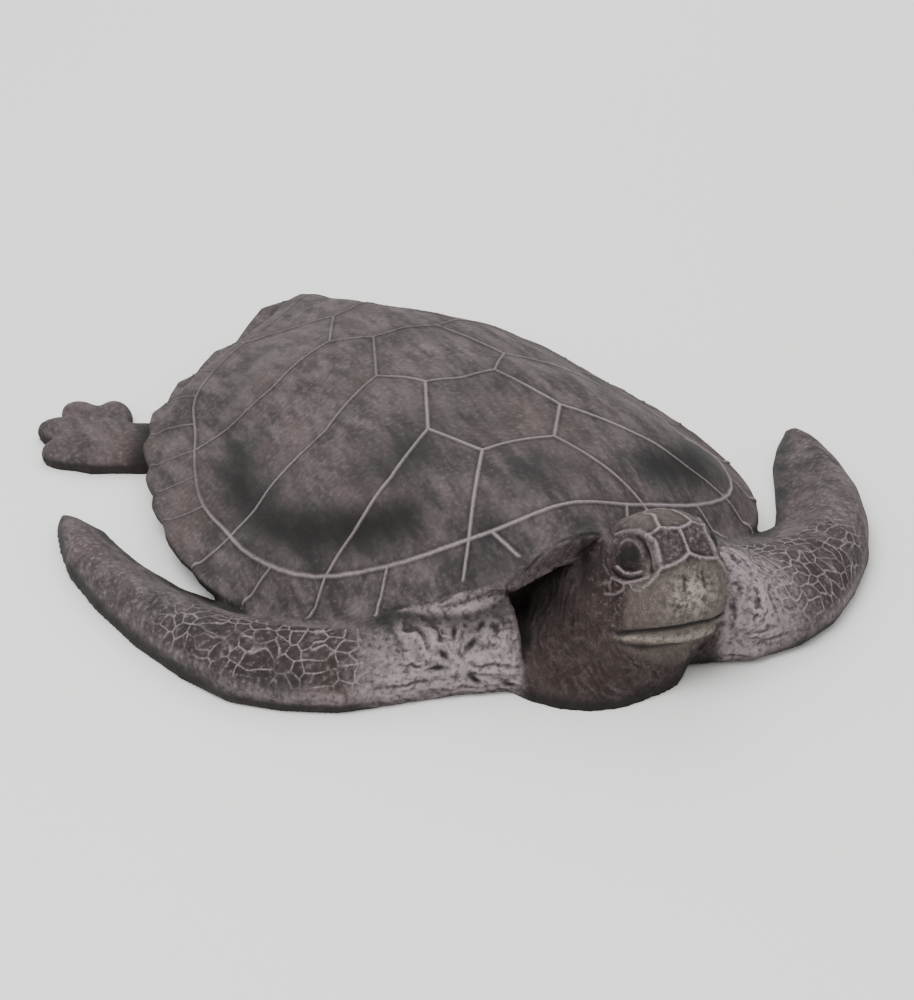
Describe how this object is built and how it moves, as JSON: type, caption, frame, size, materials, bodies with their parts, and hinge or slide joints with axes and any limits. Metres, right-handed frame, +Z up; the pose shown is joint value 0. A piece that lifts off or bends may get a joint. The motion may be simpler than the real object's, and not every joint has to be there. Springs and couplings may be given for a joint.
{
  "type": "sea turtle statue",
  "caption": "Cast stone garden statue of a sea turtle lying flat, its head raised and its fore flippers swept back; it stands on its own flat underside.",
  "frame": {"origin": "centre of the bounding box at the level of the underside", "axes": "+Z up, -Y towards the turtle's head, +X towards the turtle's left"},
  "size_m": [0.5352, 0.5864, 0.1181],
  "materials": {
    "cast stone": "matt, grey-brown, antiqued: dark in the hollows and dry-brushed pale on the ridges"
  },
  "bodies": {
    "root": {"sea_turtle": "cast stone"}
  },
  "joints": []
}
